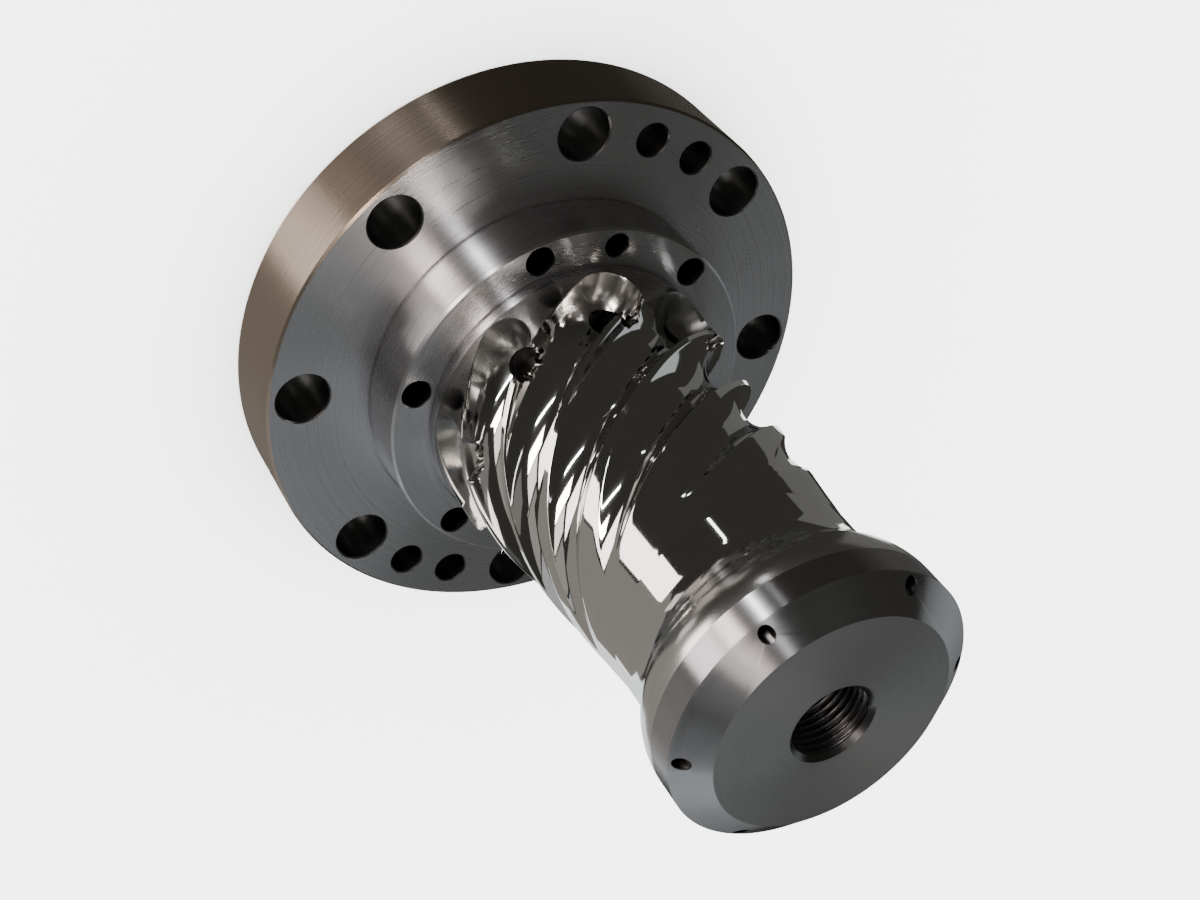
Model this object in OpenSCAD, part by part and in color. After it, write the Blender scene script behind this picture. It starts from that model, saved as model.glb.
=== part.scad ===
// Spiral mandrel of an annular extrusion die, turned and milled from one steel bar.
// It stands on the back face of its flange, with the free end up and its axis on Z.

/* [Flange] */
// Outer diameter of the flange
flange_d = 250; // [226:1:300]
// Thickness of the flange
flange_t = 39; // [30:1:60]
// Chamfer on the edges of the flange, the boss and the melt inlet
flange_chamfer = 1; // [0.4:0.2:3]
// Distance from the edge of the flange to the centres of its holes
bolt_inset = 15; // [14:0.5:23]
// Number of bolt holes
bolt_count = 8; // [4:4:8]
// Diameter of a bolt hole
bolt_hole_d = 23; // [16:0.5:24]
// Diameter of the lifting and jacking holes between the bolt holes
jack_hole_d = 14.5; // [8:0.5:15]
// Angle to the middle of the first pair of jacking holes
jack_pair_angle = -68.5; // [-70:0.5:-65]
// Half the angle between the two holes of a pair
jack_half_gap = 6.4; // [5:0.1:7.5]

/* [Boss] */
// Diameter of the locating boss on the flange
boss_d = 162; // [161:1:180]
// Height of the boss above the flange
boss_h = 25; // [15:1:35]
// Distance from the edge of the boss to the centres of its holes
boss_inset = 8; // [7.5:0.25:9]
// Diameter of the holes in the boss
boss_hole_d = 12.5; // [8:0.5:13]
// Depth of the holes in the boss
boss_hole_depth = 30; // [15:1:45]
// Angle of the first of the six bolt holes in the boss
boss_hole_angle = 35; // [20:1:56]
// Angle of the first of the two extraction holes in the boss
extract_angle = -52; // [-58:1:-48]
// Diameter of the extraction holes
extract_hole_d = 10.5; // [6:0.5:12]

/* [Root] */
// Diameter of the plain root that centres the die body
root_d = 128; // [120:1:130]
// Width of the relief turned at the foot of the boss and of the root
relief_w = 1.6; // [0.6:0.2:2.4]
// Depth of the relief
relief_depth = 1; // [0.4:0.2:2]

/* [Spiral] */
// Number of spiral channels
spiral_count = 8; // [6:1:8]
// Height of the first channel centre above the boss
port_rise = 17; // [15:0.5:24]
// Angle of the first channel start
port_angle = 1.5; // [-20:0.5:20]
// Width of a channel, the diameter of its ball-nose cutter
channel_w = 23; // [16:0.5:23.5]
// Depth of a channel at its start
channel_depth = 17; // [10:0.5:20]
// Rise of a channel in one full turn
channel_lead = 240; // [220:5:260]
// Angle through which a channel runs before it has died out
channel_sweep = 165; // [120:5:180]
// Extra length of the start pocket along the axis
pocket_len = 3; // [1:0.5:6]
// Length of the conical part of the barrel that carries the channels
barrel_l = 140; // [130:1:160]
// Diameter of the plain waist above the channels
waist_d = 101; // [92:1:106]
// Length of the plain waist
waist_l = 12; // [6:1:30]

/* [Free end] */
// Diameter of the collar
collar_d = 120; // [119:1:126]
// Length of the flare from the waist to the collar
flare_l = 33; // [28:1:45]
// Length of the collar
collar_l = 12; // [10:0.5:20]
// Diameter of the end face
end_d = 95; // [80:1:98]
// Height of the cone from the collar to the end face
end_cone_l = 9; // [6:0.5:14]
// Distance from the edge of the collar to the centres of the small holes in the end cone
pin_inset = 3.75; // [3.5:0.25:6]
// Diameter of the small holes in the end cone
pin_hole_d = 5.2; // [3:0.1:6]
// Depth of the small holes below the edge of the collar
pin_hole_depth = 16; // [8:1:18]
// Angle of the first small hole
pin_angle = -7; // [-30:1:30]

/* [Bores] */
// Core diameter of the threaded bore in the end face
thread_core_d = 31; // [24:0.5:33]
// Depth of the threaded bore
thread_depth = 48; // [20:1:60]
// Diameter of the chamfer at the mouth of the threaded bore
thread_mouth_d = 35; // [32:0.5:40]
// Diameter of the melt inlet in the back face
inlet_d = 46; // [36:1:54]
// Depth of the melt inlet
inlet_depth = 48; // [40:1:54]
// Diameter of the feed ports from the inlet to the channels
port_d = 14; // [8:0.5:16]

/* [Hidden] */
$fn = 96;
// How far two joined bodies run into each other, and how far a cut runs past a surface
overlap = 3;
cut = 1;
// Slope of the cone that a drill leaves at the end of a blind hole
drill_slope = 30;
flange_pcd = flange_d - 2 * bolt_inset;
boss_pcd = boss_d - 2 * boss_inset;
pin_pcd = collar_d - 2 * pin_inset;
boss_top = flange_t + boss_h;
ball_r = channel_w / 2;
port_z = boss_top + port_rise;
root_r = root_d / 2;
waist_r = waist_d / 2;
barrel_top = boss_top + barrel_l;
waist_top = barrel_top + waist_l;
flare_top = waist_top + flare_l;
collar_top = flare_top + collar_l;
end_z = collar_top + end_cone_l;
pitch_angle = 360 / spiral_count;
boss_bolts = 6;
pin_count = 6;
// A point this near the cutter's edge counts as land
edge_gap = 0.01;
// Columns of the barrel mesh never close up further than this on each side of a channel or a pocket
least_half = 5;
least_ring = 0.5;
// Smallest angle of land between two channels
least_land = 0.4;
// The barrel's lands lie this far inside the root and the waist, so that they meet at clean steps
sunk = 0.05;

// Radius of the lands between the channels, which fall towards the waist
taper_z = [boss_top + 0.2 * barrel_l, boss_top + 0.48 * barrel_l, boss_top + 0.69 * barrel_l,
           boss_top + 0.87 * barrel_l, barrel_top];
taper_share = [1, 0.48, 0.33, 0.13, 0];
function land_r(z) = lookup(z, [for (i = [0:len(taper_z) - 1])
    [taper_z[i], waist_r + (root_r - waist_r) * taper_share[i]]]);

// Depth of a channel after it has turned through an angle from its start
function depth_at(turn) = channel_depth * max(0, 1 - max(0, turn) / channel_sweep);
// Half the width that the ball-nose cutter opens at that depth
function half_width(depth) = depth >= ball_r ? ball_r
    : sqrt(max(least_half * least_half, depth * (2 * ball_r - depth)));
// Slope of a channel on the unrolled surface, as an angle from the circumference
function rise_angle(r) = atan2(channel_lead, 2 * PI * r);
function degrees_of(arc, r) = arc * 180 / (PI * r);

// Radius that the cutter leaves at a distance from its path, at a depth below a land
function cut_r(land, depth, off) = off >= ball_r - edge_gap ? land
    : min(land, land - depth + ball_r - sqrt(ball_r * ball_r - off * off));

// Radius of the surface at an arc length x and a height h from the start of one channel
function channel_r(x, h, land, slope) =
    let (along = x * cos(slope) + h * sin(slope),
         across = along > 0 ? abs(h * cos(slope) - x * sin(slope)) : norm([x, h]),
         turn = degrees_of(max(0, along) * cos(slope), land),
         pocket = norm([x, h - min(max(h, 0), pocket_len)]))
    min(cut_r(land, depth_at(turn), across), cut_r(land, channel_depth, pocket));

// Radius of the grooved barrel at an angle from a channel start and a height
function barrel_r(a, z) =
    let (land = land_r(z), slope = rise_angle(land), h = z - port_z)
    min([for (k = [-1:1])
        channel_r((a + k * pitch_angle) * PI * land / 180, h, land, slope)]);

// Edge of a channel at a height, as an angle from its start: side 1 faces the flange, -1 the free end
function channel_edge(z, side) =
    let (land = land_r(z), slope = rise_angle(land), h = z - port_z,
         half_0 = half_width(depth_at(h * 360 / channel_lead)),
         half = half_width(depth_at(h * 360 / channel_lead
             + side * degrees_of(half_0 / tan(slope) * cos(slope), land))),
         line = h / tan(slope) + side * half / sin(slope),
         round_h = side > 0 ? h : h - min(max(h, 0), pocket_len),
         ring = side * sqrt(max(least_ring * least_ring, ball_r * ball_r - round_h * round_h)),
         free = side > 0 ? h > -ball_r * cos(slope)
             : h > ball_r * cos(slope) && (line < ring || round_h >= ball_r))
    degrees_of(free ? line : ring, land);

// Rows of the barrel mesh: round the start pockets by angle, then evenly along the channels
root_top = port_z - ball_r - sunk;
pocket_foot = [for (t = [0, 5, 12, 22, 34, 48, 62, 78]) port_z - ball_r * cos(t)];
pocket_head = [for (t = [-4, 18, 34, 48, 60, 71, 80, 86, 90]) port_z + pocket_len + ball_r * sin(t)];
run_start = port_z + pocket_len + ball_r;
run_rows = 18;
rows = concat([root_top - overlap], pocket_foot, pocket_head,
    [for (i = [1:run_rows]) run_start + (barrel_top - run_start) * i / run_rows],
    [barrel_top + overlap]);
// Columns over one channel, as shares of the way from its free side to its flange side
across_steps = [-1, -0.96, -0.8, -0.55, -0.25, 0, 0.25, 0.55, 0.8, 0.96, 1];
land_steps = 5;

// Angles of one row's points over one channel and the land beside it
function row_angles(z) =
    let (low = channel_edge(z, -1), high = channel_edge(z, 1),
         next_low = low + pitch_angle,
         top = min(high, next_low - least_land))
    concat([for (u = across_steps) (low + top) / 2 + u * (top - low) / 2],
        [for (i = [1:land_steps - 1]) top + (next_low - top) * i / land_steps]);

// The barrel with its channels: one ring of points a row, closed by a fan at each end
module grooved_barrel() {
    per_channel = len(across_steps) + land_steps - 1;
    ring = spiral_count * per_channel;
    points = [for (z = rows) let (angles = row_angles(z))
        for (k = [0:spiral_count - 1], a = angles)
            let (r = barrel_r(a, z) - sunk,
                 turn = a + k * pitch_angle + port_angle)
            [r * cos(turn), r * sin(turn), z]];
    last = len(rows) - 1;
    ends = [[0, 0, rows[0]], [0, 0, rows[last]]];
    low_end = len(points);
    faces = concat(
        [for (j = [0:last - 1], i = [0:ring - 1])
            [j * ring + i, (j + 1) * ring + i, j * ring + (i + 1) % ring]],
        [for (j = [0:last - 1], i = [0:ring - 1])
            [(j + 1) * ring + i, (j + 1) * ring + (i + 1) % ring, j * ring + (i + 1) % ring]],
        [for (i = [0:ring - 1]) [low_end, i, (i + 1) % ring]],
        [for (i = [0:ring - 1]) [low_end + 1, last * ring + (i + 1) % ring, last * ring + i]]);
    polyhedron(points = concat(points, ends), faces = faces, convexity = 10);
}

// Flange, boss and plain root, with a relief at the foot of each shoulder
module turned_base() {
    flange_r = flange_d / 2;
    boss_r = boss_d / 2;
    rotate_extrude()
        polygon([[0, 0], [flange_r - flange_chamfer, 0], [flange_r, flange_chamfer],
                 [flange_r, flange_t - flange_chamfer], [flange_r - flange_chamfer, flange_t],
                 [boss_r + relief_w, flange_t], [boss_r + relief_w, flange_t - relief_depth],
                 [boss_r, flange_t - relief_depth], [boss_r, boss_top - flange_chamfer],
                 [boss_r - flange_chamfer, boss_top],
                 [root_r + relief_w, boss_top], [root_r + relief_w, boss_top - relief_depth],
                 [root_r, boss_top - relief_depth], [root_r, root_top], [0, root_top]]);
}

// Waist, flare, collar and end cone. The flare is two equal arcs, hollow and then round.
module turned_head() {
    collar_r = collar_d / 2;
    step = collar_r - waist_r;
    arc_r = (flare_l * flare_l + step * step) / (4 * step);
    arc_angle = 2 * atan(step / flare_l);
    arc_steps = 10;
    hollow = [for (i = [0:arc_steps]) let (a = arc_angle * i / arc_steps)
        [waist_r + arc_r * (1 - cos(a)), waist_top + arc_r * sin(a)]];
    crown = [for (i = [arc_steps - 1:-1:0]) let (a = arc_angle * i / arc_steps)
        [collar_r - arc_r * (1 - cos(a)), flare_top - arc_r * sin(a)]];
    rotate_extrude()
        polygon(concat([[0, barrel_top], [waist_r, barrel_top]], hollow, crown,
            [[collar_r, collar_top], [end_d / 2, end_z], [0, end_z]]));
}

// Through holes of one size on a pitch circle of the flange
module through_holes(pcd, d, angles) {
    for (a = angles)
        rotate(a) translate([pcd / 2, 0, -cut]) cylinder(d = d, h = flange_t + 2 * cut);
}

// Blind hole drilled down from z = 0, with the cone of its drill and a chamfer at its mouth.
// It is one revolved profile, so that nothing is left standing between its parts.
module drilled(d, depth, chamfer = 0) {
    r = d / 2;
    rotate_extrude()
        polygon([[0, -depth - r * tan(drill_slope)], [r, -depth], [r, -chamfer],
                 [r + chamfer, 0], [r + chamfer, cut], [0, cut]]);
}

// Blind holes of one size on a pitch circle, drilled down from a height
module blind_holes(pcd, d, depth, top_z, angles) {
    for (a = angles)
        rotate(a) translate([pcd / 2, 0, top_z]) drilled(d, depth);
}

// Melt inlet in the back face, and a sloping port from its end to each channel start
module feed_system() {
    floor_r = root_r - channel_depth;
    meet_z = inlet_depth - port_d / 4;
    rise = port_z - meet_z;
    rotate([180, 0, 0]) drilled(inlet_d, inlet_depth, flange_chamfer);
    for (k = [0:spiral_count - 1])
        rotate(port_angle + k * pitch_angle)
            translate([0, 0, meet_z])
            rotate([0, atan2(floor_r, rise), 0])
            cylinder(d = port_d, h = norm([floor_r, rise]) + cut);
}

module spiral_mandrel() {
    bolt_angles = [for (i = [0:bolt_count - 1]) i * 360 / bolt_count];
    jack_angles = [for (side = [0, 180], s = [-1, 1]) jack_pair_angle + side + s * jack_half_gap];
    boss_angles = [for (i = [0:boss_bolts - 1]) boss_hole_angle + i * 360 / boss_bolts];
    extract_angles = [extract_angle, extract_angle + 180];
    pin_angles = [for (i = [0:pin_count - 1]) pin_angle + i * 360 / pin_count];
    color([0.62, 0.63, 0.64])
    difference() {
        union() {
            turned_base();
            grooved_barrel();
            turned_head();
        }
        through_holes(flange_pcd, bolt_hole_d, bolt_angles);
        through_holes(flange_pcd, jack_hole_d, jack_angles);
        blind_holes(boss_pcd, boss_hole_d, boss_hole_depth, boss_top, boss_angles);
        blind_holes(boss_pcd, extract_hole_d, boss_hole_depth, boss_top, extract_angles);
        blind_holes(pin_pcd, pin_hole_d, pin_hole_depth + end_cone_l, end_z, pin_angles);
        translate([0, 0, end_z])
            drilled(thread_core_d, thread_depth, (thread_mouth_d - thread_core_d) / 2);
        feed_system();
    }
}

spiral_mandrel();
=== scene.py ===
"""Dresses the spiral mandrel of an annular extrusion die.

The flange, boss and collar are turned, and the barrel with its spiral channels and the flare are polished.
"""

import math

import bmesh
import bpy
import numpy as np
from bpy.props import FloatProperty, FloatVectorProperty, IntProperty, PointerProperty
from mathutils import Matrix, Vector


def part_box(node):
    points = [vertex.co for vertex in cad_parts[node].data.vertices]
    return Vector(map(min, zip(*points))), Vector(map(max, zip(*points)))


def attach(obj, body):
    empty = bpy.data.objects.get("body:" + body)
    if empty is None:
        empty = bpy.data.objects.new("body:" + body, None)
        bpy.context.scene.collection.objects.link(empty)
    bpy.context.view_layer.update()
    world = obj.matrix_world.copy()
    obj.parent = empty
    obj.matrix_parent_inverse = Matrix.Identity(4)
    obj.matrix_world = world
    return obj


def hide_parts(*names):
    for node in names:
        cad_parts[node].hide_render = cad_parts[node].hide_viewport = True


bl_info = {
    "name": "Spiral mandrel",
    "version": (1, 0, 0),
    "blender": (4, 5, 0),
    "location": "3D View > Sidebar > Mandrel",
    "description": "Builds the turned and milled surfaces of a spiral mandrel and their finishes",
    "category": "Add Mesh",
}

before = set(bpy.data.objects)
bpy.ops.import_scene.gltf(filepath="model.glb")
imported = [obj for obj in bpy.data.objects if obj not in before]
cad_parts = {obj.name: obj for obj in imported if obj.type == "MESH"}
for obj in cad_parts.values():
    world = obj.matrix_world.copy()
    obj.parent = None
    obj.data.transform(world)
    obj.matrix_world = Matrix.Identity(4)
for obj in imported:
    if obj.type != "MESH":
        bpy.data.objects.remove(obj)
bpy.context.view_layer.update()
NODE = "spiral_mandrel"
PART_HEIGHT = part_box(NODE)[1][2]

# Points round a full turn of every turned surface, and the angle between two of them in degrees
TURN_STEPS = 288
TURN_STEP = 360.0 / TURN_STEPS

# Rows between a face's outline and its holes, and points along each straight edge of that outline
FACE_ROWS = 6
EDGE_POINTS = 8

# Height of a drill's tip as a share of its radius, for a point angle of 120 degrees
TIP_SLOPE = math.tan(math.radians(30))

# Holes in the boss for screws and for pulling the mandrel out, and small holes in the cone
BOSS_HOLES = 6
EXTRACT_HOLES = 2
PIN_HOLES = 6

# Least divisor, where a distance may be nothing
TINY = 1e-9

# Plain root that is left below the lowest point of the pockets
ROOT_GAP = 0.001

# Radius of the lands: at each share of the barrel's length, a share of the step from the waist up to the root
LAND_HEIGHTS = np.array([0.2, 0.48, 0.69, 0.87, 1.0])
LAND_SHARES = np.array([1, 0.48, 0.33, 0.13, 0])

# Rise of a channel's wall above the cutter's ball for each unit of width, and the rounding of its rim
WALL_SLOPE = 14.0
RIM_BLEND = 0.0005

# Barrel grid: degrees between two rows round a pocket, rows from there to the waist, and steps over a land
POCKET_STEP = 3
RUN_ROWS = 190
LAND_STEPS = 9

# Columns over a channel, as shares of half its width: over its floor, and near each of its edges
FLOOR_COLUMNS = np.linspace(-0.86, 0.86, 23)
EDGE_COLUMNS = np.array([0.92, 0.96, 0.985, 1.0, 1.012, 1.03])

# Height of a thread's ridge, and the shares of its pitch that are flat at the crest and sloping
RIDGE = 0.0016
CREST, FLANK = 0.12, 0.76

# A quarter turn, which sets the highlight across the turning marks that run round the axis
QUARTER_TURN = 0.25

# Noise of the finishes: number and detail of the fine marks, scale and detail of the patches they fade in
MARKS_PER_METRE = 700.0
MARK_DETAIL = 3.0
PATCH_SCALE = 22.0
PATCH_DETAIL = 2.0

# Values of the mask between which the roughness goes from its lowest to its highest, a tenth either way
MASK_LOW, MASK_HIGH = 0.1, 0.5
ROUGH_SPREAD = 0.1

# Studio: distance of the lamps from the point they aim at, half the floor's side, and the surroundings
LIGHT_DISTANCE = 3.0
LIGHT_CENTRE = (0.0, 0.0, 0.14)
FLOOR_HALF = 6.0
FLOOR_ROUGHNESS = 0.9
BACKGROUND_STRENGTH = 5.5
REFLECTED_COLOUR = (0.040, 0.039, 0.034, 1)

# Each studio lamp or card: azimuth, elevation, width, height and roll in degrees, brightness, tint
LIGHTS = (
    ("window", 31, -27, 22, 36, 0, 4.8, (1.0, 0.95, 0.92)),
    ("low_window", 48, -61, 12, 8, 0, 1.2, (1.0, 0.93, 0.88)),
    ("strip", -31, -41, 1.8, 7, 8, 8.0, (1, 1, 1)),
    ("far_window", 146, -39, 30, 12, 0, 1.4, (0.92, 0.97, 1.0)),
    ("wall", 88, -35, 70, 56, 0, 0.26, (1.0, 0.93, 0.86)),
    ("back_card", -133, -38, 40, 22, 0, 0.11, (1.0, 1.0, 0.98)),
    ("back_lamp", -162, -40, 10, 4, 0, 2.4, (1, 1, 1)),
    ("under", 30, -80, 40, 14, 0, 0.6, (1.0, 0.92, 0.85)),
    ("side_tube", -13.7, 0, 1.6, 30, 0, 110.0, (1.0, 0.98, 0.99)),
    ("side_warm", 8, 6, 12, 30, 0, 27.0, (1.0, 0.88, 0.80)),
    ("side_glow", 24, 10, 16, 24, 0, 2.0, (1.0, 0.91, 0.84)),
    ("side_left", 50, 10, 30, 24, 0, 0.35, (1.0, 0.96, 0.92)),
    ("side_far", 90, 10, 44, 30, 0, 0.5, (0.94, 0.97, 1.0)),
    ("side_back", 134, 12, 50, 34, 0, 0.42, (0.88, 0.95, 1.0)),
    ("side_rear", -152, 8, 44, 26, 0, 0.52, (0.88, 0.95, 1.0)),
    ("tube", -15, 50, 1.6, 26, 0, 5.0, (1.0, 0.98, 0.98)),
    ("warm", 8, 50, 18, 26, 0, 0.2, (1.0, 0.93, 0.90)),
    ("high_warm", 29, 60, 12, 16, 0, 3.2, (1.0, 0.90, 0.84)),
    ("high_left", 50, 72, 40, 20, 0, 0.12, (1.0, 0.98, 0.96)),
    ("high_far", 110, 70, 60, 24, 0, 0.08, (0.88, 0.95, 1.0)),
    ("sky_left", 142, 50, 20, 44, 0, 0.19, (0.86, 0.94, 1.0)),
    ("sky_far", 128, 38, 30, 44, 0, 0.29, (0.86, 0.94, 1.0)),
    ("sky_back", 174, 85, 60, 30, 0, 0.05, (0.88, 0.95, 1.0)),
    ("sky_base", -178, 54, 34, 26, 0, 0.085, (0.92, 0.98, 1.0)),
)

# Camera at the photograph's view: place and target in metres, roll in degrees, sensor and lens in millimetres
CAMERA_PLACE = (0.52569, -0.05154, 0.60519)
CAMERA_TARGET = (0.00041, 0.00422, 0.09853)
CAMERA_ROLL = -218.44
CAMERA_SENSOR = 36.0
CAMERA_LENS = 53.6
CAMERA_REACH = (0.01, 50.0)


def length(name, text, mm):
    """A length property that is typed in millimetres and kept in metres."""
    return FloatProperty(
        name=name, description=text, default=mm / 1000, min=0.0, unit="LENGTH", precision=4,
    )


def angle(name, text, degrees):
    """An angle property that is kept in degrees."""
    return FloatProperty(name=name, description=text, default=degrees, soft_min=-360.0, soft_max=360.0)


def colour(name, text, value):
    """A linear colour property."""
    return FloatVectorProperty(
        name=name, description=text, default=value, min=0.0, max=1.0, size=3, subtype="COLOR",
    )


class MandrelSizes(bpy.types.PropertyGroup):
    """Sizes of the mandrel, the same as those of its solid."""

    flange_d: length("Flange diameter", "Outer diameter of the flange", 250)
    flange_t: length("Flange thickness", "Thickness of the flange", 39)
    chamfer: length("Chamfer", "Chamfer on the edges of the flange and the boss", 1)
    bolt_inset: length("Bolt inset", "Distance from the edge of the flange to the centres of its holes", 15)
    bolt_count: IntProperty(name="Bolt holes", description="Number of bolt holes", default=8, min=1)
    bolt_hole_d: length("Bolt hole", "Diameter of a bolt hole", 23)
    jack_hole_d: length("Jacking hole", "Diameter of a jacking hole", 14.5)
    jack_pair_angle: angle("Jacking pair", "Angle to the middle of the first pair of jacking holes", -68.5)
    jack_half_gap: angle("Half gap", "Half the angle between the two holes of a pair", 6.4)
    boss_d: length("Boss diameter", "Diameter of the locating boss", 162)
    boss_h: length("Boss height", "Height of the boss above the flange", 25)
    boss_inset: length("Boss inset", "Distance from the edge of the boss to the centres of its holes", 8)
    boss_hole_d: length("Boss hole", "Diameter of the holes in the boss", 12.5)
    boss_hole_depth: length("Boss hole depth", "Depth of the holes in the boss", 30)
    boss_hole_angle: angle("Boss hole angle", "Angle of the first of the six boss holes", 35)
    extract_angle: angle("Extraction angle", "Angle of the first of the two extraction holes", -52)
    extract_hole_d: length("Extraction hole", "Diameter of the extraction holes", 10.5)
    root_d: length("Root diameter", "Diameter of the plain root", 128)
    relief_w: length("Relief width", "Width of the relief at the foot of the boss and the root", 1.6)
    relief_depth: length("Relief depth", "Depth of the relief", 1)
    spiral_count: IntProperty(name="Channels", description="Number of spiral channels", default=8, min=3)
    port_rise: length("Port rise", "Height of the first channel centre above the boss", 17)
    port_angle: angle("Port angle", "Angle of the first channel start", 1.5)
    channel_w: length("Channel width", "Diameter of the ball-nose cutter", 23)
    channel_depth: length("Channel depth", "Depth of a channel at its start", 17)
    channel_lead: length("Channel lead", "Rise of a channel in one full turn", 240)
    channel_sweep: angle("Channel sweep", "Angle through which a channel runs out", 165)
    pocket_len: length("Pocket length", "Extra length of the start pocket", 3)
    barrel_l: length("Barrel length", "Length of the conical part with the channels", 140)
    waist_d: length("Waist diameter", "Diameter of the plain waist", 101)
    waist_l: length("Waist length", "Length of the plain waist", 12)
    collar_d: length("Collar diameter", "Diameter of the collar", 120)
    flare_l: length("Flare length", "Length of the flare from the waist to the collar", 33)
    collar_l: length("Collar length", "Length of the collar", 12)
    end_d: length("End face diameter", "Diameter of the end face", 95)
    pin_inset: length("Pin inset", "Distance from the collar's edge to the centres of the small holes", 3.75)
    pin_hole_d: length("Pin hole", "Diameter of the small holes", 5.2)
    pin_hole_depth: length("Pin hole depth", "Depth of the small holes below the collar's edge", 16)
    pin_angle: angle("Pin angle", "Angle of the first small hole", -7)
    thread_core_d: length("Thread core", "Core diameter of the threaded bore", 31)
    thread_depth: length("Thread depth", "Depth of the threaded bore", 48)
    thread_mouth_d: length("Thread mouth", "Diameter of the chamfer at the mouth of the bore", 35)
    thread_pitch: length("Thread pitch", "Distance between two turns of the thread", 3)
    inlet_d: length("Melt inlet", "Diameter of the melt inlet in the back face", 46)
    inlet_depth: length("Inlet depth", "Depth of the melt inlet", 48)
    port_d: length("Feed port", "Diameter of the feed ports", 14)


class MandrelFinish(bpy.types.PropertyGroup):
    """Colours of the mandrel's finishes, where the dark steel inside the holes and the thread is painted
    shade.
    """

    turned: colour("Turned steel", "Colour of the turned flange and boss", (0.62, 0.61, 0.62))
    rim: colour("Turned rim", "Colour of the rim of the flange", (0.47, 0.385, 0.315))
    collar: colour("Turned collar", "Colour of the collar and its cone", (0.54, 0.53, 0.54))
    polished: colour("Polished steel", "Colour of the polished barrel and neck", (0.72, 0.71, 0.69))
    ground: colour("Ground steel", "Colour of the end face", (0.72, 0.72, 0.73))
    # Painted shade: the steel inside the holes is coloured dark for the shade that falls in them
    bore: colour("Bore steel with painted shade", "Colour inside the holes", (0.10, 0.10, 0.10))
    # Painted shade: the threaded bore is coloured dark for the shade inside it
    thread: colour("Cut thread with painted shade", "Colour of the threaded bore", (0.17, 0.165, 0.165))
    floor: colour("Floor", "Colour of the studio floor", (0.90, 0.90, 0.90))


class Heights:
    """Heights and radii that follow from the sizes, in metres."""

    def __init__(self, s):
        self.boss_top = s.flange_t + s.boss_h
        self.ball_r = s.channel_w / 2
        self.port_z = self.boss_top + s.port_rise
        self.root_top = self.port_z - self.ball_r - ROOT_GAP
        self.barrel_top = self.boss_top + s.barrel_l
        self.waist_top = self.barrel_top + s.waist_l
        self.flare_top = self.waist_top + s.flare_l
        self.collar_top = self.flare_top + s.collar_l
        self.end_z = PART_HEIGHT


def sizes():
    """Sizes that are kept with the scene."""
    return bpy.context.scene.mandrel_sizes


def finish():
    """Colours that are kept with the scene."""
    return bpy.context.scene.mandrel_finish


def turn_angles():
    """Angles of a full turn in radians, with the first one repeated at the end."""
    return np.radians(np.arange(TURN_STEPS + 1) * TURN_STEP)


def lathe(profile):
    """Surface of revolution: (r cos a, r sin a, z) for each profile point (r, z) and each angle a."""
    a = turn_angles()
    p = np.asarray(profile, float)
    r = p[:, :1]
    z = np.broadcast_to(p[:, 1:], (len(p), len(a)))
    return np.stack([r * np.cos(a), r * np.sin(a), z], axis=-1)


def sector_outline(start, end, r_in, r_out):
    """Outline of a ring sector: outer arc, end edge, inner arc, start edge and the first point again."""
    arc = np.radians(start + np.arange(round((end - start) / TURN_STEP) + 1) * TURN_STEP)
    edge = np.linspace(r_out, r_in, EDGE_POINTS + 1)
    end_edge, start_edge = np.full(EDGE_POINTS, arc[-1]), np.full(EDGE_POINTS, arc[0])
    a = np.concatenate([arc[:-1], end_edge, arc[:0:-1], start_edge, arc[:1]])
    outer, inner = np.full(len(arc) - 1, r_out), np.full(len(arc) - 1, r_in)
    r = np.concatenate([outer, edge[:-1], inner, edge[:0:-1], [r_out]])
    return np.stack([r * np.cos(a), r * np.sin(a)], axis=-1)


def drilled_face(holes, r_in, r_out, height, lip):
    """Ring face with round holes, each hole a row of (angle, pitch radius, radius).

    A hole owns the sector up to the midpoints to its neighbours. Its grid runs from the sector's outline to
    the hole's edge: point = outline + share x (edge - outline), and height(r) lifts it to the face. The edge
    lies lip outside the hole's own radius. Returns the grids, and for each hole its centre, its radius and
    the directions of its edge points.
    """
    holes = np.array(sorted(holes, key=lambda hole: hole[0]))
    following = np.roll(holes[:, 0], -1)
    following[-1] += 360
    ends = np.round((holes[:, 0] + following) / 2 / TURN_STEP) * TURN_STEP
    starts = np.roll(ends, 1)
    starts[0] -= 360
    share = np.linspace(0, 1, FACE_ROWS + 1)[:, None, None]
    grids, rims = [], []
    for (a, pitch_r, hole_r), start, end in zip(holes, starts, ends):
        outer = sector_outline(start, end, r_in, r_out)
        centre = pitch_r * np.array([math.cos(math.radians(a)), math.sin(math.radians(a))])
        away = (outer - centre) / np.linalg.norm(outer - centre, axis=1, keepdims=True)
        flat = outer + share * (centre + (hole_r + lip) * away - outer)
        level = height(np.linalg.norm(flat, axis=-1, keepdims=True))
        grids.append(np.concatenate([flat, level], axis=-1))
        rims.append((centre, hole_r, away))
    return grids, rims


def bore(centre, away, rows):
    """Wall of a drilled hole: each row (r, z) is a ring of points centre + r x away.

    Their height is z, or z(distance from the mandrel's axis) where z is a function.
    """
    grid = []
    for r, z in rows:
        flat = centre + r * away
        if callable(z):
            level = z(np.linalg.norm(flat, axis=-1, keepdims=True))
        else:
            level = np.full((len(flat), 1), z)
        grid.append(np.concatenate([flat, level], axis=-1))
    return np.stack(grid)


def spread(first, count):
    """Angles of count holes spaced evenly round the axis from the first, between -180 and 180 degrees."""
    a = first + np.arange(count) * 360.0 / count
    return (a + 180) % 360 - 180


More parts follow.
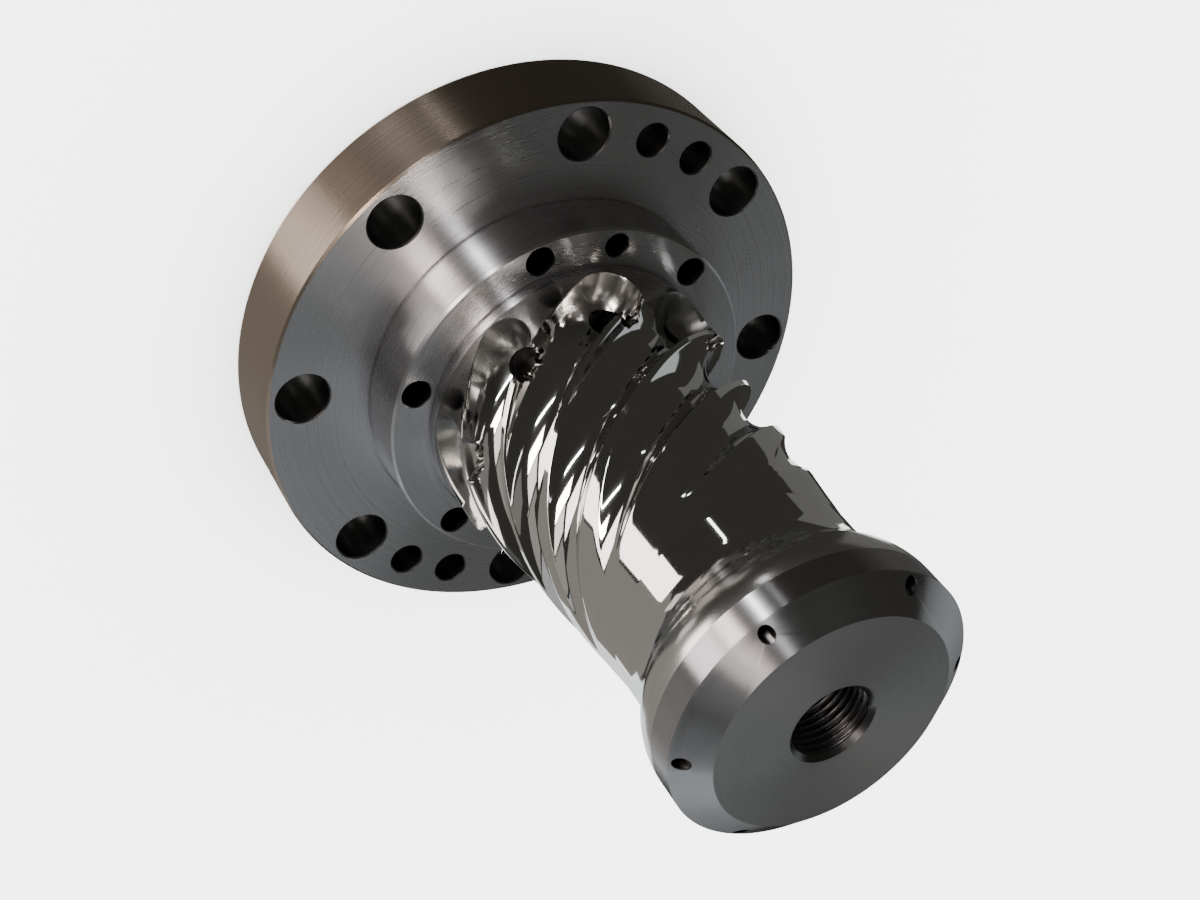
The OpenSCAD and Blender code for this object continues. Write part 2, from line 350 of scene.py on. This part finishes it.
def put_piece(name, grids, material, crease=32.0):
    """Makes one object from grids of points, rows x columns x 3.

    Points that touch are merged, and an edge sharper than crease degrees stays sharp.
    """
    points, quads, count = [], [], 0
    for grid in grids:
        index = np.arange(grid.shape[0] * grid.shape[1]).reshape(grid.shape[:2]) + count
        corners = [index[:-1, :-1], index[:-1, 1:], index[1:, 1:], index[1:, :-1]]
        quads.append(np.stack(corners, axis=-1).reshape(-1, 4))
        points.append(grid.reshape(-1, 3))
        count += index.size
    mesh = bpy.data.meshes.new(name)
    mesh.from_pydata(np.concatenate(points), [], np.concatenate(quads))
    bm = bmesh.new()
    bm.from_mesh(mesh)
    bmesh.ops.remove_doubles(bm, verts=bm.verts, dist=2e-6)
    bmesh.ops.dissolve_degenerate(bm, edges=bm.edges, dist=1e-7)
    bm.to_mesh(mesh)
    bm.free()
    mesh.polygons.foreach_set("use_smooth", np.ones(len(mesh.polygons), dtype=bool))
    mesh.set_sharp_from_angle(angle=math.radians(crease))
    mesh.materials.append(material)
    piece = bpy.data.objects.new(name, mesh)
    bpy.context.collection.objects.link(piece)
    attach(piece, "root")
    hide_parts(NODE)


def land_radius(s, h, z):
    """Radius of the lands: the waist's plus a share of the step to the root, which falls with height."""
    levels = h.boss_top + LAND_HEIGHTS * s.barrel_l
    return np.interp(z, levels, s.waist_d / 2 + (s.root_d - s.waist_d) / 2 * LAND_SHARES)


def channel_depth(s, turn):
    """Depth of a channel, falling evenly from its start to nothing over its sweep in degrees."""
    return s.channel_depth * np.clip(1 - np.maximum(0, turn) / s.channel_sweep, 0, 1)


def smooth_min(a, b, k):
    """Smaller of two surfaces, with the edge between them rounded over a difference of k."""
    blend = np.clip(1 - np.abs(a - b) / np.maximum(k, TINY), 0, 1)
    return np.minimum(a, b) - blend * blend * k / 4


def cutter_floor(ball_r, land, depth, off):
    """Radius left by a ball-nose cutter at a distance off from its path, with a steep wall above the ball."""
    ball = ball_r - np.sqrt(np.maximum(0, ball_r * ball_r - off * off))
    return land - depth + np.where(off < ball_r, ball, ball_r + (off - ball_r) * WALL_SLOPE)


def half_width(ball_r, depth, least=0.0015):
    """Half the width of a channel of that depth at the lands, never under a least value."""
    shallow = np.sqrt(np.maximum(least * least, depth * (2 * ball_r - depth)))
    return np.where(depth >= ball_r, ball_r + (depth - ball_r) / WALL_SLOPE, shallow)


def helix_slope(s, land):
    """Angle of the channels' helix on a surface of that radius, in radians from level."""
    return np.arctan2(s.channel_lead, 2 * np.pi * land)


def pocket_rim(s, h):
    """Radius of a start pocket at the lands."""
    return h.ball_r + (s.channel_depth - h.ball_r) / WALL_SLOPE


def channel_edge(s, h, z, side, least=0.002):
    """Edge of a channel at a height, in degrees from its start. Side 1 faces the flange, -1 the free end.

    The edge is the helix moved sideways by half the channel's width, or the round rim of the start pocket,
    which is never taken narrower than a least value.
    """
    land = land_radius(s, h, z)
    slope = helix_slope(s, land)
    rise = z - h.port_z
    rim_r = pocket_rim(s, h)
    first = half_width(h.ball_r, channel_depth(s, rise * 360 / s.channel_lead))
    shift = side * np.degrees(first / np.tan(slope) * np.cos(slope) / land)
    half = half_width(h.ball_r, channel_depth(s, rise * 360 / s.channel_lead + shift))
    line = rise / np.tan(slope) + side * half / np.sin(slope)
    round_rise = rise if side > 0 else rise - np.clip(rise, 0, s.pocket_len)
    ring = side * np.sqrt(np.maximum(least ** 2, rim_r * rim_r - round_rise * round_rise))
    if side > 0:
        free = rise > -rim_r * np.cos(slope)
    else:
        free = (rise > rim_r * np.cos(slope)) & ((line < ring) | (round_rise >= rim_r))
    return np.degrees(np.where(free, line, ring) / land)


def barrel_radius(s, h, a, z):
    """Radius of the grooved barrel at angle a from a channel start and height z.

    On the unrolled surface a channel is a strip along its helix. Its floor is the cut of a ball-nose cutter
    that rises out of the land, and its start is a round pocket. The smallest of land, channels and pockets is
    kept, for the nearest channel and the one on each side of it.
    """
    land = land_radius(s, h, z)
    slope = helix_slope(s, land)
    rise = z - h.port_z
    pitch = 360.0 / s.spiral_count
    r = land
    for k in (-1, 0, 1):
        x = np.radians(a + k * pitch) * land
        along = x * np.cos(slope) + rise * np.sin(slope)
        off = np.where(along > 0, np.abs(rise * np.cos(slope) - x * np.sin(slope)), np.hypot(x, rise))
        depth = channel_depth(s, np.degrees(np.maximum(0, along) * np.cos(slope) / land))
        channel = cutter_floor(h.ball_r, land, depth, off)
        far = np.hypot(x, rise - np.clip(rise, 0, s.pocket_len))
        pocket = cutter_floor(h.ball_r, land, s.channel_depth, far)
        r = smooth_min(r, np.minimum(channel, pocket), np.minimum(RIM_BLEND, depth / 2))
    return r


def open_ports(s, h, grid):
    """Opens the feed ports, which slope from the end of the melt inlet to the starts of the channels.

    Points inside a port's cylinder sink along its axis. Points up to a rim's width outside it slide onto its
    edge: they move straight to the cylinder, and then along its axis until their distance from the mandrel's
    axis is the barrel's radius at their own angle and height, which a few passes come close to.
    """
    port_r = s.port_d / 2
    floor_r = s.root_d / 2 - s.channel_depth
    foot = np.array([0, 0, s.inlet_depth - s.port_d / 4])
    inner_rim, outer_rim, sink, passes = 0.0003, 0.0009, 0.03, 5
    for k in range(s.spiral_count):
        start = s.port_angle + k * 360.0 / s.spiral_count
        a = math.radians(start)
        axis = np.array([floor_r * math.cos(a), floor_r * math.sin(a), h.port_z - foot[2]])
        axis /= np.linalg.norm(axis)
        lean = math.hypot(axis[0], axis[1])
        reach = (grid - foot) @ axis
        across = grid - foot - reach[..., None] * axis
        off = np.linalg.norm(across, axis=-1)
        facing = grid[..., 0] * math.cos(a) + grid[..., 1] * math.sin(a) > floor_r / 2
        inside = facing & (off < port_r - inner_rim)
        beside = facing & (off >= port_r - inner_rim) & (off < port_r + outer_rim)
        on_edge = foot + reach[..., None] * axis + across * (port_r / np.maximum(off, TINY))[..., None]
        for _ in range(passes):
            turn = np.degrees(np.arctan2(on_edge[..., 1], on_edge[..., 0])) - start
            turn = (turn + 180) % 360 - 180
            far = np.hypot(on_edge[..., 0], on_edge[..., 1])
            short = np.where(beside, barrel_radius(s, h, turn, on_edge[..., 2]) - far, 0)
            on_edge = on_edge + (short / lean)[..., None] * axis
        sunk = grid - sink * axis
        grid = np.where(beside[..., None], on_edge, np.where(inside[..., None], sunk, grid))
    return grid


def barrel_surface(s, h):
    """Barrel as radius(angle, height), in rows at heights and columns that follow the edges of the channels.

    Rows lie at even angles round the foot and the head of the pockets and then at even heights. Columns lie
    at shares of half the width of each channel, and then evenly over the land beside it.
    """
    rim_r = pocket_rim(s, h)
    below = np.radians(np.arange(0, 89, POCKET_STEP))
    above = np.radians(np.arange(-12, 91, POCKET_STEP))
    foot = h.port_z - rim_r * np.cos(below)
    head = h.port_z + s.pocket_len + rim_r * np.sin(above)
    run = np.linspace(head[-1], h.barrel_top, RUN_ROWS)[1:]
    z = np.concatenate([[h.root_top], foot, head, run])
    share = np.concatenate([-EDGE_COLUMNS[::-1], FLOOR_COLUMNS, EDGE_COLUMNS])
    low, high = channel_edge(s, h, z, -1), channel_edge(s, h, z, 1)
    pitch = 360.0 / s.spiral_count
    middle, half = (low + high) / 2, (high - low) / 2
    over_channel = middle[:, None] + half[:, None] * share
    first, last = over_channel[:, -1:], over_channel[:, :1] + pitch
    over_land = first + (last - first) * np.arange(1, LAND_STEPS) / LAND_STEPS
    a = np.concatenate([over_channel, over_land], axis=1)
    r = barrel_radius(s, h, a, z[:, None])
    turn = np.radians(a[:, None, :] + np.arange(s.spiral_count)[None, :, None] * pitch + s.port_angle)
    turn = turn.reshape(len(z), -1)
    r = np.tile(r, (1, s.spiral_count))
    turn = np.concatenate([turn, turn[:, :1] + 2 * np.pi], axis=1)
    r = np.concatenate([r, r[:, :1]], axis=1)
    level = np.broadcast_to(z[:, None], r.shape)
    return open_ports(s, h, np.stack([r * np.cos(turn), r * np.sin(turn), level], axis=-1))


def flare_profile(s, h, steps=40):
    """Waist and flare: a straight line, then two equal arcs, the first hollow and the second round."""
    waist_r, collar_r = s.waist_d / 2, s.collar_d / 2
    step = collar_r - waist_r
    arc_r = (s.flare_l ** 2 + step ** 2) / (4 * step)
    a = np.linspace(0, 2 * math.atan(step / s.flare_l), steps)
    hollow = np.stack([waist_r + arc_r * (1 - np.cos(a)), h.waist_top + arc_r * np.sin(a)], axis=-1)
    crown = np.stack([collar_r - arc_r * (1 - np.cos(a)), h.flare_top - arc_r * np.sin(a)], axis=-1)[::-1]
    return np.concatenate([[[waist_r, h.barrel_top]], hollow, crown[1:]])


def thread_surface(s, h, rows_per_turn=12):
    """Internal thread: radius = core + a flat-topped wave of (height / pitch - turn), fading at both ends."""
    core_r, mouth_r = s.thread_core_d / 2, s.thread_mouth_d / 2
    top, floor = h.end_z - (mouth_r - core_r), h.end_z - s.thread_depth
    z = np.linspace(top, floor, int((top - floor) / s.thread_pitch * rows_per_turn))[:, None]
    a = turn_angles()
    phase = (z / s.thread_pitch - a / (2 * np.pi)) % 1.0
    wave = np.clip((np.abs(2 * phase - 1) - CREST) / FLANK, 0, 1)
    fade = np.clip((top - z) / (s.thread_pitch / 2), 0, 1) * np.clip((z - floor) / s.thread_pitch, 0, 1)
    r = core_r + RIDGE * wave * fade
    level = np.broadcast_to(z, r.shape)
    wall = np.stack([r * np.cos(a), r * np.sin(a), level], axis=-1)
    drill = lathe([[core_r, floor], [0, floor - core_r * TIP_SLOPE]])
    return [wall, drill]


def group_socket(group, name, kind, out=False, value=None):
    """Adds one named input or output to a shader node group."""
    socket = group.interface.new_socket(name=name, in_out="OUTPUT" if out else "INPUT", socket_type=kind)
    if value is not None:
        socket.default_value = value


def math_node(tree, operation, a, b=None):
    """Math node whose inputs are sockets or numbers."""
    node = tree.nodes.new("ShaderNodeMath")
    node.operation = operation
    for i, value in enumerate((a, b)):
        if isinstance(value, bpy.types.NodeSocket):
            tree.links.new(value, node.inputs[i])
        elif value is not None:
            node.inputs[i].default_value = value
    return node.outputs[0]


def map_range(tree, value, before, after):
    """Value that goes evenly from the first to the second of after while the input does so in before."""
    level = tree.nodes.new("ShaderNodeMapRange")
    for name, number in zip(("From Min", "From Max", "To Min", "To Max"), (*before, *after)):
        level.inputs[name].default_value = number
    tree.links.new(value, level.inputs["Value"])
    return level.outputs["Result"]


def turning_group():
    """Turning marks: noise along the tool's path, which is the distance from the axis plus the height."""
    group = bpy.data.node_groups.get("Turning marks")
    if group:
        return group
    group = bpy.data.node_groups.new("Turning marks", "ShaderNodeTree")
    group_socket(group, "Marks per metre", "NodeSocketFloat", value=MARKS_PER_METRE)
    group_socket(group, "Height", "NodeSocketFloat", out=True)
    group_socket(group, "Mask", "NodeSocketFloat", out=True)
    inlet, outlet = group.nodes.new("NodeGroupInput"), group.nodes.new("NodeGroupOutput")
    place = group.nodes.new("ShaderNodeTexCoord")
    split = group.nodes.new("ShaderNodeSeparateXYZ")
    group.links.new(place.outputs["Object"], split.inputs[0])
    x_square = math_node(group, "POWER", split.outputs["X"], 2.0)
    y_square = math_node(group, "POWER", split.outputs["Y"], 2.0)
    distance = math_node(group, "SQRT", math_node(group, "ADD", x_square, y_square))
    path = math_node(group, "ADD", distance, split.outputs["Z"])
    fine = group.nodes.new("ShaderNodeTexNoise")
    fine.noise_dimensions = "1D"
    fine.inputs["Scale"].default_value = 1.0
    fine.inputs["Detail"].default_value = MARK_DETAIL
    group.links.new(math_node(group, "MULTIPLY", path, inlet.outputs["Marks per metre"]), fine.inputs["W"])
    broad = group.nodes.new("ShaderNodeTexNoise")
    broad.inputs["Scale"].default_value = PATCH_SCALE
    broad.inputs["Detail"].default_value = PATCH_DETAIL
    group.links.new(place.outputs["Object"], broad.inputs["Vector"])
    mask = math_node(group, "MULTIPLY", fine.outputs["Fac"], broad.outputs["Fac"])
    group.links.new(fine.outputs["Fac"], outlet.inputs["Height"])
    group.links.new(mask, outlet.inputs["Mask"])
    return group


def steel(name, base, rough=None, shade=0.12, marks=MARKS_PER_METRE, depth=0.00001, grain=0.0):
    """Steel finish: its colour varies by shade along the turning marks, which give a bump of that depth.

    The roughness varies about rough where one is given, and grain stretches the highlight across the marks.
    """
    material = bpy.data.materials.new(name)
    material.use_nodes = True
    tree = material.node_tree
    shader = tree.nodes["Principled BSDF"]
    shader.inputs["Metallic"].default_value = 1.0
    shader.inputs["Anisotropic"].default_value = grain
    rings = tree.nodes.new("ShaderNodeGroup")
    rings.node_tree = turning_group()
    rings.inputs["Marks per metre"].default_value = marks
    tint = tree.nodes.new("ShaderNodeMix")
    tint.data_type = "RGBA"
    tint.inputs["A"].default_value = (*[c * (1 - shade) for c in base], 1)
    tint.inputs["B"].default_value = (*[min(1, c * (1 + shade)) for c in base], 1)
    tree.links.new(rings.outputs["Height"], tint.inputs["Factor"])
    tree.links.new(tint.outputs["Result"], shader.inputs["Base Color"])
    if rough:
        ends = (rough * (1 - ROUGH_SPREAD), rough * (1 + ROUGH_SPREAD))
        level = map_range(tree, rings.outputs["Mask"], (MASK_LOW, MASK_HIGH), ends)
        tree.links.new(level, shader.inputs["Roughness"])
    if depth:
        bump = tree.nodes.new("ShaderNodeBump")
        bump.inputs["Strength"].default_value = 1.0
        bump.inputs["Distance"].default_value = depth
        tree.links.new(rings.outputs["Height"], bump.inputs["Height"])
        tree.links.new(bump.outputs["Normal"], shader.inputs["Normal"])
    if grain:
        shader.inputs["Anisotropic Rotation"].default_value = QUARTER_TURN
        round_axis = tree.nodes.new("ShaderNodeTangent")
        round_axis.direction_type = "RADIAL"
        round_axis.axis = "Z"
        tree.links.new(round_axis.outputs["Tangent"], shader.inputs["Tangent"])
    return material


def shaded_bore_steel(name):
    """Steel inside a drilled hole, made dark as painted shade for the hole's depth, with close marks from the
    drill.
    """
    return steel(name, finish().bore, rough=0.35, marks=1500)


def by_height(tree, low, high, start, end):
    """Value that goes evenly with height, from start at low to end at high."""
    place = tree.nodes.new("ShaderNodeTexCoord")
    split = tree.nodes.new("ShaderNodeSeparateXYZ")
    tree.links.new(place.outputs["Object"], split.inputs[0])
    return map_range(tree, split.outputs["Z"], (low, high), (start, end))


def polished_steel(name, low, high, start, end):
    """Mirror finish without bump. Its roughness goes with height, from start at low to end at high."""
    material = steel(name, finish().polished, shade=0.04, marks=260, depth=0.0)
    tree = material.node_tree
    roughness = tree.nodes["Principled BSDF"].inputs["Roughness"]
    tree.links.new(by_height(tree, low, high, start, end), roughness)
    return material


def paint_foot_shade(material, low, high, share):
    """Painted shade: base colour that is scaled by a share at low and is whole again at high, so the foot
    looks shaded.
    """
    tree = material.node_tree
    colour_in = tree.nodes["Principled BSDF"].inputs["Base Color"]
    scale = tree.nodes.new("ShaderNodeVectorMath")
    scale.operation = "SCALE"
    tree.links.new(colour_in.links[0].from_socket, scale.inputs[0])
    tree.links.new(by_height(tree, low, high, share, 1.0), scale.inputs["Scale"])
    tree.links.new(scale.outputs["Vector"], colour_in)


class MANDREL_OT_flange(bpy.types.Operator):
    """Flange with its bolt and jacking holes, and the back face with the melt inlet"""

    bl_idname = "mandrel.flange"
    bl_label = "Flange"

    def execute(self, context):
        s, c = sizes(), finish()
        lip = 0.0006
        flange_r, inner = s.flange_d / 2, s.boss_d / 2 + s.relief_w
        pairs = [s.jack_pair_angle + side + way * s.jack_half_gap for side in (0, 180) for way in (-1, 1)]
        pitch_r = flange_r - s.bolt_inset
        holes = [(a, pitch_r, s.bolt_hole_d / 2) for a in spread(0, s.bolt_count)]
        holes += [(a, pitch_r, s.jack_hole_d / 2) for a in pairs]
        edge = flange_r - s.chamfer
        front, rims = drilled_face(holes, inner, edge, lambda r: np.full_like(r, s.flange_t), lip)
        back, _ = drilled_face(holes, inner, edge, np.zeros_like, lip)
        rim = lathe([
            [edge, 0], [flange_r, s.chamfer], [flange_r, s.flange_t - s.chamfer], [edge, s.flange_t],
        ])
        put_piece("flange", front, steel("Turned flange", c.turned, rough=0.29, marks=900, grain=1.0))
        put_piece("flange_rim", [rim], steel("Turned rim", c.rim, rough=0.26, marks=900, grain=0.8))
        walls = [
            bore(centre, away, [[r + lip, s.flange_t], [r, s.flange_t - lip], [r, lip], [r + lip, 0]])
            for centre, r, away in rims
        ]
        put_piece("flange_bores", walls, shaded_bore_steel("Flange bores, painted shade"))
        inlet_r = s.inlet_d / 2
        inlet = lathe([
            [0, s.inlet_depth + inlet_r * TIP_SLOPE], [inlet_r, s.inlet_depth],
            [inlet_r, s.chamfer], [inlet_r + s.chamfer, 0], [inner, 0],
        ])
        outward = [grid[::-1] for grid in back]
        put_piece("back_face", [inlet] + outward, steel("Turned back", c.turned, rough=0.3, grain=0.6))
        return {"FINISHED"}


class MANDREL_OT_boss(bpy.types.Operator):
    """Boss with its holes, and the plain root"""

    bl_idname = "mandrel.boss"
    bl_label = "Boss and root"

    def execute(self, context):
        s, h, c = sizes(), Heights(sizes()), finish()
        lip = 0.0004
        boss_r, root_r, foot = s.boss_d / 2, s.root_d / 2, s.flange_t - s.relief_depth
        side = lathe([
            [boss_r + s.relief_w, s.flange_t], [boss_r + s.relief_w, foot], [boss_r, foot],
            [boss_r, h.boss_top - s.chamfer], [boss_r - s.chamfer, h.boss_top],
        ])
        pitch_r = boss_r - s.boss_inset
        holes = [(a, pitch_r, s.boss_hole_d / 2) for a in spread(s.boss_hole_angle, BOSS_HOLES)]
        holes += [(a, pitch_r, s.extract_hole_d / 2) for a in spread(s.extract_angle, EXTRACT_HOLES)]
        step, edge = root_r + s.relief_w, boss_r - s.chamfer
        face, rims = drilled_face(holes, step, edge, lambda r: np.full_like(r, h.boss_top), lip)
        root_foot = h.boss_top - s.relief_depth
        root = lathe([[step, h.boss_top], [step, root_foot], [root_r, root_foot], [root_r, h.root_top]])
        turned = steel("Turned boss", c.turned, rough=0.29, marks=1100, grain=1.0)
        put_piece("boss", [side] + face + [root], turned)
        floor = h.boss_top - s.boss_hole_depth
        walls = [
            bore(centre, away, [
                [r + lip, h.boss_top], [r, h.boss_top - lip], [r, floor], [0, floor - r * TIP_SLOPE],
            ])
            for centre, r, away in rims
        ]
        put_piece("boss_bores", walls, shaded_bore_steel("Boss bores, painted shade"))
        return {"FINISHED"}


class MANDREL_OT_barrel(bpy.types.Operator):
    """Barrel with its spiral channels, start pockets and feed ports"""

    bl_idname = "mandrel.barrel"
    bl_label = "Spiral barrel"

    def execute(self, context):
        s, h = sizes(), Heights(sizes())
        pocket_top = h.port_z + s.pocket_len
        polish = polished_steel("Polished channels", h.root_top, pocket_top, start=0.34, end=0.06)
        # Painted shade: the barrel's colour darkens towards its foot, round the start pockets
        paint_foot_shade(polish, h.root_top, h.port_z + h.ball_r, share=0.4)
        put_piece("spiral_barrel", [barrel_surface(s, h)], polish, crease=40)
        return {"FINISHED"}


class MANDREL_OT_neck(bpy.types.Operator):
    """Plain waist and the flare up to the collar"""

    bl_idname = "mandrel.neck"
    bl_label = "Waist and flare"

    def execute(self, context):
        s, h = sizes(), Heights(sizes())
        polish = polished_steel("Polished neck", h.waist_top, h.flare_top, start=0.05, end=0.22)
        put_piece("neck", [lathe(flare_profile(s, h))], polish)
        return {"FINISHED"}


class MANDREL_OT_free_end(bpy.types.Operator):
    """Collar, end cone with its small holes, end face and threaded bore"""

    bl_idname = "mandrel.free_end"
    bl_label = "Free end"

    def execute(self, context):
        s, h, c = sizes(), Heights(sizes()), finish()
        lip = 0.0003
        collar_r, end_r, mouth_r = s.collar_d / 2, s.end_d / 2, s.thread_mouth_d / 2
        cone_l = h.end_z - h.collar_top

        def cone(r):
            return h.collar_top + (collar_r - r) / (collar_r - end_r) * cone_l

        pitch_r = collar_r - s.pin_inset
        holes = [(a, pitch_r, s.pin_hole_d / 2) for a in spread(s.pin_angle, PIN_HOLES)]
        band = lathe([[collar_r, h.flare_top], [collar_r, h.collar_top]])
        face, rims = drilled_face(holes, end_r, collar_r, cone, lip)
        turned = steel("Turned collar", c.collar, rough=0.29, marks=1300, grain=1.0)
        put_piece("collar", [band] + face, turned, crease=20)
        floor = h.collar_top - s.pin_hole_depth
        walls = [
            bore(centre, away, [
                [r + lip, cone], [r, lambda far: cone(far) - lip], [r, floor], [0, floor - r * TIP_SLOPE],
            ])
            for centre, r, away in rims
        ]
        put_piece("collar_bores", walls, shaded_bore_steel("Collar bores, painted shade"))
        flat = lathe([[end_r, h.end_z], [mouth_r, h.end_z]])
        ground = steel("Ground end face", c.ground, rough=0.42, shade=0.05, marks=1200, grain=0.4)
        put_piece("end_face", [flat], ground)
        core_r = s.thread_core_d / 2
        mouth = lathe([[mouth_r, h.end_z], [core_r, h.end_z - (mouth_r - core_r)]])
        # The thread's dark colour is painted shade for the inside of the bore
        cut = steel("Cut thread with painted shade", c.thread, rough=0.3, marks=1500)
        put_piece("end_thread", [mouth] + thread_surface(s, h), cut, crease=50)
        return {"FINISHED"}


def aim(location, target, roll=0.0):
    """Matrix that stands at a place, looks at a target and is turned by roll degrees about that line."""
    forward = (Vector(target) - Vector(location)).normalized()
    right = forward.cross(Vector((0, 0, 1))).normalized()
    up = right.cross(forward)
    c, s = math.cos(math.radians(roll)), math.sin(math.radians(roll))
    x, y, z = c * right + s * up, c * up - s * right, -forward
    rows = [(x[i], y[i], z[i], location[i]) for i in range(3)]
    return Matrix((*rows, (0, 0, 0, 1)))


def studio_light(name, azimuth, elevation, wide, high, roll, bright, tint):
    """Rectangular lamp or card. Its direction, width and height are degrees as seen from the part.

    Its power is brightness x pi x area, so that a mirror shows it with that brightness.
    """
    light = bpy.data.lights.new(name, "AREA")
    light.shape = "RECTANGLE"
    light.size = 2 * LIGHT_DISTANCE * math.tan(math.radians(wide / 2))
    light.size_y = 2 * LIGHT_DISTANCE * math.tan(math.radians(high / 2))
    light.energy = bright * math.pi * light.size * light.size_y
    light.color = tint
    a, e = math.radians(azimuth), math.radians(elevation)
    way = Vector((math.cos(e) * math.cos(a), math.cos(e) * math.sin(a), math.sin(e)))
    holder = bpy.data.objects.new(name, light)
    holder.matrix_world = aim(Vector(LIGHT_CENTRE) + LIGHT_DISTANCE * way, LIGHT_CENTRE, roll)
    bpy.context.collection.objects.link(holder)


def studio_floor():
    """Plain pale floor, which the steel doesn't mirror and which lets the light of the lower lamps through."""
    mesh = bpy.data.meshes.new("studio_floor")
    x, y = np.meshgrid([-FLOOR_HALF, FLOOR_HALF], [-FLOOR_HALF, FLOOR_HALF])
    corners = np.stack([x.ravel(), y.ravel(), np.zeros(4)], axis=-1)
    mesh.from_pydata(corners, [], [(0, 1, 3, 2)])
    floor = bpy.data.objects.new("studio_floor", mesh)
    bpy.context.collection.objects.link(floor)
    paint = bpy.data.materials.new("Studio floor")
    paint.use_nodes = True
    shader = paint.node_tree.nodes["Principled BSDF"]
    shader.inputs["Base Color"].default_value = (*finish().floor, 1)
    shader.inputs["Roughness"].default_value = FLOOR_ROUGHNESS
    shader.inputs["Specular IOR Level"].default_value = 0.0
    mesh.materials.append(paint)
    floor.visible_glossy = False
    floor.visible_shadow = False


def studio_world(scene):
    """Surroundings that are pale behind the part and on the floor, but look dark in a reflection."""
    world = bpy.data.worlds.new("Studio")
    scene.world = world
    world.use_nodes = True
    tree = world.node_tree
    tree.nodes.clear()
    out = tree.nodes.new("ShaderNodeOutputWorld")
    mix = tree.nodes.new("ShaderNodeMixShader")
    path = tree.nodes.new("ShaderNodeLightPath")
    pale, dark = tree.nodes.new("ShaderNodeBackground"), tree.nodes.new("ShaderNodeBackground")
    pale.inputs["Color"].default_value = (1, 1, 1, 1)
    pale.inputs["Strength"].default_value = BACKGROUND_STRENGTH
    dark.inputs["Color"].default_value = REFLECTED_COLOUR
    dark.inputs["Strength"].default_value = 1.0
    tree.links.new(path.outputs["Is Glossy Ray"], mix.inputs["Fac"])
    tree.links.new(pale.outputs[0], mix.inputs[1])
    tree.links.new(dark.outputs[0], mix.inputs[2])
    tree.links.new(mix.outputs[0], out.inputs["Surface"])


def photo_camera(scene):
    """Camera at the photograph's view."""
    camera = bpy.data.cameras.new("photo_camera")
    camera.sensor_width = CAMERA_SENSOR
    camera.lens = CAMERA_LENS
    camera.clip_start, camera.clip_end = CAMERA_REACH
    holder = bpy.data.objects.new("photo_camera", camera)
    holder.matrix_world = aim(CAMERA_PLACE, CAMERA_TARGET, CAMERA_ROLL)
    bpy.context.collection.objects.link(holder)
    scene.camera = holder


class MANDREL_OT_stage(bpy.types.Operator):
    """Floor, studio lamps, surroundings and the camera at the photograph's view"""

    bl_idname = "mandrel.stage"
    bl_label = "Studio"

    def execute(self, context):
        studio_floor()
        studio_world(context.scene)
        for lamp in LIGHTS:
            studio_light(*lamp)
        photo_camera(context.scene)
        return {"FINISHED"}


class MANDREL_PT_panel(bpy.types.Panel):
    """Lists the mandrel's pieces, sizes and colours"""

    bl_label = "Spiral mandrel"
    bl_idname = "MANDREL_PT_panel"
    bl_space_type = "VIEW_3D"
    bl_region_type = "UI"
    bl_category = "Mandrel"

    def draw(self, context):
        column = self.layout.column(align=True)
        for operator in OPERATORS:
            column.operator(operator.bl_idname)
        for group in (context.scene.mandrel_sizes, context.scene.mandrel_finish):
            box = self.layout.box().column(align=True)
            for name in group.__annotations__:
                box.prop(group, name)


OPERATORS = (
    MANDREL_OT_stage,
    MANDREL_OT_flange,
    MANDREL_OT_boss,
    MANDREL_OT_barrel,
    MANDREL_OT_neck,
    MANDREL_OT_free_end,
)
CLASSES = (MandrelSizes, MandrelFinish, *OPERATORS, MANDREL_PT_panel)


def register():
    for item in CLASSES:
        bpy.utils.register_class(item)
    bpy.types.Scene.mandrel_sizes = PointerProperty(type=MandrelSizes)
    bpy.types.Scene.mandrel_finish = PointerProperty(type=MandrelFinish)


def unregister():
    del bpy.types.Scene.mandrel_finish
    del bpy.types.Scene.mandrel_sizes
    for item in reversed(CLASSES):
        bpy.utils.unregister_class(item)


def main():
    """Builds every piece and the studio."""
    register()
    bpy.ops.mandrel.stage()
    bpy.ops.mandrel.flange()
    bpy.ops.mandrel.boss()
    bpy.ops.mandrel.barrel()
    bpy.ops.mandrel.neck()
    bpy.ops.mandrel.free_end()


if __name__ == "__main__":
    main()
